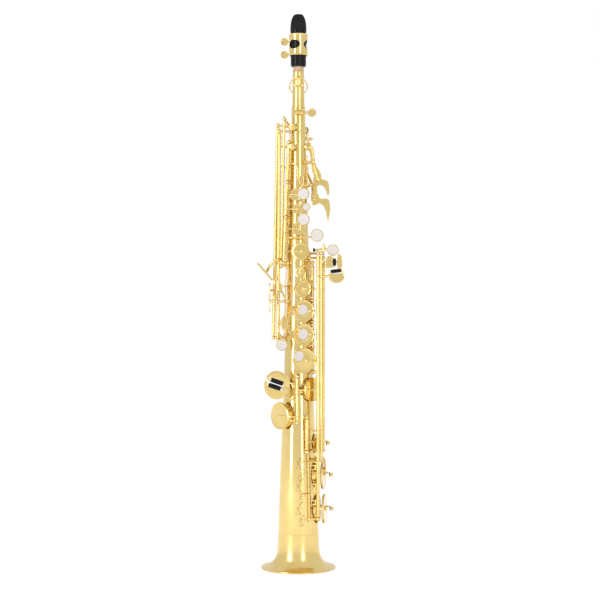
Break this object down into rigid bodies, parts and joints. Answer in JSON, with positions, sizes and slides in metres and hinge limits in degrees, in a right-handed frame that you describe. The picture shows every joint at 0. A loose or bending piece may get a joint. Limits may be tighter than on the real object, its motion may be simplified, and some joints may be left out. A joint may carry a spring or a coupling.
{
  "type": "soprano saxophone",
  "caption": "Straight soprano saxophone in lacquered brass with a straight neck, hard rubber mouthpiece, stack keys, palm keys, side keys and low keys on hinge rods.",
  "frame": {"origin": "centre of the bell rim's flat face, on the surface that the instrument stands on", "axes": "+Z along the tube towards the mouthpiece, -Y towards the front (away from the player), +X towards the player's left hand side"},
  "size_m": [0.108, 0.093, 0.69],
  "materials": {
    "lacquer": "gold lacquered brass, polished",
    "pearl": "mother-of-pearl touch, polished",
    "roller": "black roller, satin",
    "ebonite": "polished black hard rubber",
    "cork": "fine-grained neck cork",
    "cane": "dry cane"
  },
  "bodies": {
    "body": {"body_tube": "lacquer", "bell": "lacquer", "upper_stack_rib": "lacquer", "lower_stack_rib": "lacquer", "side_key_rib": "lacquer", "palm_key_rib": "lacquer", "low_key_guard": "lacquer", "thumb_rest": "lacquer", "thumb_hook": "lacquer", "strap_ring": "lacquer"},
    "neck": {"neck_tube": "lacquer", "neck_cork": "cork"},
    "neck_octave": {"neck_octave_key": "lacquer"},
    "mouthpiece": {"mouthpiece": "ebonite"},
    "reed_body": {"reed": "cane"},
    "ligature": {"ligature": "lacquer"},
    "ligature_screw_low": {"ligature_screw_lower": "lacquer"},
    "ligature_screw_up": {"ligature_screw_upper": "lacquer"},
    "neck_clamp_screw": {"neck_screw": "lacquer"},
    "b": {"b_key": "lacquer", "b_pearl": "pearl"},
    "bis": {"bis_key": "lacquer", "bis_pearl": "pearl"},
    "a": {"a_key": "lacquer", "a_pearl": "pearl"},
    "g": {"g_key": "lacquer", "g_pearl": "pearl"},
    "f_sharp": {"f_sharp_key": "lacquer"},
    "f": {"f_key": "lacquer", "f_pearl": "pearl"},
    "e": {"e_key": "lacquer", "e_pearl": "pearl"},
    "d": {"d_key": "lacquer", "d_pearl": "pearl"},
    "body_octave": {"body_octave_key": "lacquer"},
    "front_f": {"front_f_key": "lacquer"},
    "g_sharp": {"g_sharp_key": "lacquer"},
    "palm_e_flat": {"palm_e_flat_key": "lacquer"},
    "palm_d": {"palm_d_key": "lacquer"},
    "palm_f": {"palm_f_key": "lacquer"},
    "side_c": {"side_c_key": "lacquer"},
    "side_b_flat": {"side_b_flat_key": "lacquer"},
    "side_high_e": {"side_high_e_key": "lacquer"},
    "f_sharp_trill": {"f_sharp_trill_key": "lacquer", "trill_pearl": "pearl"},
    "low_b_flat": {"low_b_flat_key": "lacquer"},
    "low_b": {"low_b_key": "lacquer"},
    "c_sharp_lever": {"low_c_sharp_lever": "lacquer"},
    "low_c_sharp": {"low_c_sharp_key": "lacquer"},
    "low_e_flat": {"low_e_flat_key": "lacquer"},
    "low_c": {"low_c_key": "lacquer"},
    "g_sharp_lever": {"g_sharp_lever": "lacquer", "g_sharp_pearl": "pearl"},
    "octave_lever": {"octave_thumb_lever": "lacquer"},
    "b_flat_roller": {"b_flat_roller": "roller"},
    "c_sharp_roller": {"c_sharp_roller": "roller"},
    "e_flat_roller": {"e_flat_roller": "roller"},
    "c_roller": {"c_roller": "roller"}
  },
  "joints": [
    {"name": "b_key_hinge", "type": "hinge", "parent": "body", "child": "b", "pos_m": [-0.01458, -0.00949, 0.463], "axis": [0.0415, 0.0013, 0.9991], "range_deg": [0, 6.8], "stiffness_Nm_per_rad": 0.04, "springref_deg": -20.05},
    {"name": "bis_key_hinge", "type": "hinge", "parent": "body", "child": "bis", "pos_m": [-0.01533, -0.00951, 0.445], "axis": [0.0415, 0.0013, 0.9991], "range_deg": [0, 6.8], "stiffness_Nm_per_rad": 0.04, "springref_deg": -20.05},
    {"name": "a_key_hinge", "type": "hinge", "parent": "body", "child": "a", "pos_m": [-0.01625, -0.00954, 0.423], "axis": [0.0415, 0.0013, 0.9991], "range_deg": [0, 6.8], "stiffness_Nm_per_rad": 0.04, "springref_deg": -20.05},
    {"name": "g_key_hinge", "type": "hinge", "parent": "body", "child": "g", "pos_m": [-0.01729, -0.00957, 0.398], "axis": [0.0415, 0.0013, 0.9991], "range_deg": [0, 6.8], "stiffness_Nm_per_rad": 0.04, "springref_deg": -20.05},
    {"name": "f_sharp_key_hinge", "type": "hinge", "parent": "body", "child": "f_sharp", "pos_m": [0.0176, -0.01002, 0.343], "axis": [0, 0.0269, 0.9996], "range_deg": [-6.8, 0], "stiffness_Nm_per_rad": 0.04, "springref_deg": 20.05},
    {"name": "f_key_hinge", "type": "hinge", "parent": "body", "child": "f", "pos_m": [0.0176, -0.01067, 0.319], "axis": [0, 0.0269, 0.9996], "range_deg": [-6.8, 0], "stiffness_Nm_per_rad": 0.04, "springref_deg": 20.05},
    {"name": "e_key_hinge", "type": "hinge", "parent": "body", "child": "e", "pos_m": [0.0176, -0.01145, 0.29], "axis": [0, 0.0269, 0.9996], "range_deg": [-6.8, 0], "stiffness_Nm_per_rad": 0.04, "springref_deg": 20.05},
    {"name": "d_key_hinge", "type": "hinge", "parent": "body", "child": "d", "pos_m": [0.0176, -0.01231, 0.258], "axis": [0, 0.0269, 0.9996], "range_deg": [-6.8, 0], "stiffness_Nm_per_rad": 0.04, "springref_deg": 20.05},
    {"name": "low_c_key_hinge", "type": "hinge", "parent": "body", "child": "low_c", "pos_m": [-0.0015, -0.02518, 0.2], "axis": [0, 0.0259, 0.9997], "range_deg": [-7.8, 0], "stiffness_Nm_per_rad": 0.04, "springref_deg": 20.05},
    {"name": "low_b_key_hinge", "type": "hinge", "parent": "body", "child": "low_b", "pos_m": [0.0284, -0.01915, 0.26], "axis": [0, 0.0093, 1], "range_deg": [0, 8.8], "stiffness_Nm_per_rad": 0.04, "springref_deg": -20.05},
    {"name": "low_b_flat_key_hinge", "type": "hinge", "parent": "body", "child": "low_b_flat", "pos_m": [0.0242, -0.02056, 0.22], "axis": [0, 0.0092, 1], "range_deg": [0, 7.8], "stiffness_Nm_per_rad": 0.04, "springref_deg": -20.05},
    {"name": "low_e_flat_key_hinge", "type": "hinge", "parent": "body", "child": "low_e_flat", "pos_m": [-0.0015, -0.02451, 0.226], "axis": [0, 0.0259, 0.9997], "range_deg": [-7, 0], "stiffness_Nm_per_rad": 0.04, "springref_deg": 20.05},
    {"name": "low_c_sharp_lever_hinge", "type": "hinge", "parent": "body", "child": "c_sharp_lever", "pos_m": [0.0312, -0.01596, 0.26], "axis": [0, 0.0093, 1], "range_deg": [0, 5], "stiffness_Nm_per_rad": 0.04, "springref_deg": -20.05},
    {"name": "low_c_sharp_key_hinge", "type": "hinge", "parent": "body", "child": "low_c_sharp", "pos_m": [0.0105, -0.02457, 0.168], "axis": [0, 0.0167, 0.9999], "range_deg": [-7, 0], "stiffness_Nm_per_rad": 0.04, "springref_deg": 20.05},
    {"name": "g_sharp_key_hinge", "type": "hinge", "parent": "body", "child": "g_sharp", "pos_m": [0.0176, -0.0094, 0.366], "axis": [0, 0.0269, 0.9996], "range_deg": [0, 7], "stiffness_Nm_per_rad": 0.04, "springref_deg": -20.05},
    {"name": "g_sharp_lever_hinge", "type": "hinge", "parent": "body", "child": "g_sharp_lever", "pos_m": [0.0312, -0.01469, 0.397], "axis": [0, 0.0093, 1], "range_deg": [0, 8], "stiffness_Nm_per_rad": 0.04, "springref_deg": -20.05},
    {"name": "body_octave_key_hinge", "type": "hinge", "parent": "body", "child": "body_octave", "pos_m": [-0.01226, -0.00941, 0.519], "axis": [0.0415, 0.0013, 0.9991], "range_deg": [-9, 0], "stiffness_Nm_per_rad": 0.04, "springref_deg": 20.05},
    {"name": "front_f_key_hinge", "type": "hinge", "parent": "body", "child": "front_f", "pos_m": [-0.01305, -0.00944, 0.5], "axis": [0.0415, 0.0013, 0.9991], "range_deg": [0, 6], "stiffness_Nm_per_rad": 0.04, "springref_deg": -20.05},
    {"name": "side_high_e_key_hinge", "type": "hinge", "parent": "body", "child": "side_high_e", "pos_m": [-0.01957, -0.00592, 0.46], "axis": [0.0211, -0.0059, 0.9998], "range_deg": [-8, 0], "stiffness_Nm_per_rad": 0.04, "springref_deg": 20.05},
    {"name": "side_c_key_hinge", "type": "hinge", "parent": "body", "child": "side_c", "pos_m": [-0.02837, 0.003, 0.42], "axis": [0.0201, 0, 0.9998], "range_deg": [0, 8], "stiffness_Nm_per_rad": 0.04, "springref_deg": -20.05},
    {"name": "side_b_flat_key_hinge", "type": "hinge", "parent": "body", "child": "side_b_flat", "pos_m": [-0.02434, -0.003, 0.43], "axis": [0.0068, 0, 1], "range_deg": [0, 8], "stiffness_Nm_per_rad": 0.04, "springref_deg": -20.05},
    {"name": "f_sharp_trill_key_hinge", "type": "hinge", "parent": "body", "child": "f_sharp_trill", "pos_m": [-0.0251, -0.004, 0.307], "axis": [0.0047, 0, 1], "range_deg": [0, 8], "stiffness_Nm_per_rad": 0.04, "springref_deg": -20.05},
    {"name": "palm_e_flat_key_hinge", "type": "hinge", "parent": "body", "child": "palm_e_flat", "pos_m": [0.0185, -0.001, 0.504], "axis": [0, 1, 0], "range_deg": [0, 6], "stiffness_Nm_per_rad": 0.04, "springref_deg": -20.05},
    {"name": "palm_d_key_hinge", "type": "hinge", "parent": "body", "child": "palm_d", "pos_m": [0.0155, 0.002, 0.476], "axis": [0, 1, 0], "range_deg": [0, 6], "stiffness_Nm_per_rad": 0.04, "springref_deg": -20.05},
    {"name": "palm_f_key_hinge", "type": "hinge", "parent": "body", "child": "palm_f", "pos_m": [0.01125, 0.01207, 0.534], "axis": [-0.7314, 0.682, 0], "range_deg": [0, 6], "stiffness_Nm_per_rad": 0.04, "springref_deg": -20.05},
    {"name": "octave_lever_hinge", "type": "hinge", "parent": "body", "child": "octave_lever", "pos_m": [0, 0.0165, 0.47], "axis": [1, 0, 0], "range_deg": [-7, 0], "stiffness_Nm_per_rad": 0.04, "springref_deg": 20.05},
    {"name": "neck_octave_key_hinge", "type": "hinge", "parent": "neck", "child": "neck_octave", "pos_m": [0, -0.0102, 0.599], "axis": [1, 0, 0], "range_deg": [0, 7], "stiffness_Nm_per_rad": 0.04, "springref_deg": -20.05},
    {"name": "neck_slide", "type": "slide", "parent": "body", "child": "neck", "axis": [0, 0, 1], "range_m": [0, 0.018]},
    {"name": "mouthpiece_slide", "type": "slide", "parent": "neck", "child": "mouthpiece", "axis": [0, 0, 1], "range_m": [0, 0.012]},
    {"name": "ligature_slide", "type": "slide", "parent": "mouthpiece", "child": "ligature", "axis": [0, 0, 1], "range_m": [-0.003, 0]},
    {"name": "reed_slide", "type": "slide", "parent": "mouthpiece", "child": "reed_body", "axis": [0, 0, 1], "range_m": [-0.002, 0]},
    {"name": "neck_screw_turn", "type": "hinge", "parent": "body", "child": "neck_clamp_screw", "pos_m": [0, -0.012, 0.5646], "axis": [1, 0, 0], "continuous": true},
    {"name": "ligature_screw_lower_turn", "type": "hinge", "parent": "ligature", "child": "ligature_screw_low", "pos_m": [0, 0.0136, 0.6403], "axis": [1, 0, 0], "continuous": true},
    {"name": "ligature_screw_upper_turn", "type": "hinge", "parent": "ligature", "child": "ligature_screw_up", "pos_m": [0, 0.0136, 0.6565], "axis": [1, 0, 0], "continuous": true},
    {"name": "c_sharp_roller_spin", "type": "hinge", "parent": "c_sharp_lever", "child": "c_sharp_roller", "pos_m": [0.0442, -0.025, 0.3793], "axis": [0, 0, 1], "continuous": true},
    {"name": "b_flat_roller_spin", "type": "hinge", "parent": "low_b_flat", "child": "b_flat_roller", "pos_m": [0.0462, -0.0232, 0.3686], "axis": [0.9923, 0, 0.124], "continuous": true},
    {"name": "e_flat_roller_spin", "type": "hinge", "parent": "low_e_flat", "child": "e_flat_roller", "pos_m": [-0.0261, -0.0286, 0.23285], "axis": [0.9454, 0, -0.3258], "continuous": true},
    {"name": "c_roller_spin", "type": "hinge", "parent": "low_c", "child": "c_roller", "pos_m": [-0.029, -0.0286, 0.2267], "axis": [0.9461, 0, -0.324], "continuous": true}
  ],
  "couplings": [
    {"joint": "low_c_sharp_key_hinge", "follows": "low_c_sharp_lever_hinge", "ratio": -1.36},
    {"joint": "g_sharp_key_hinge", "follows": "g_sharp_lever_hinge", "ratio": 0.85},
    {"joint": "neck_octave_key_hinge", "follows": "octave_lever_hinge", "ratio": -0.9}
  ]
}
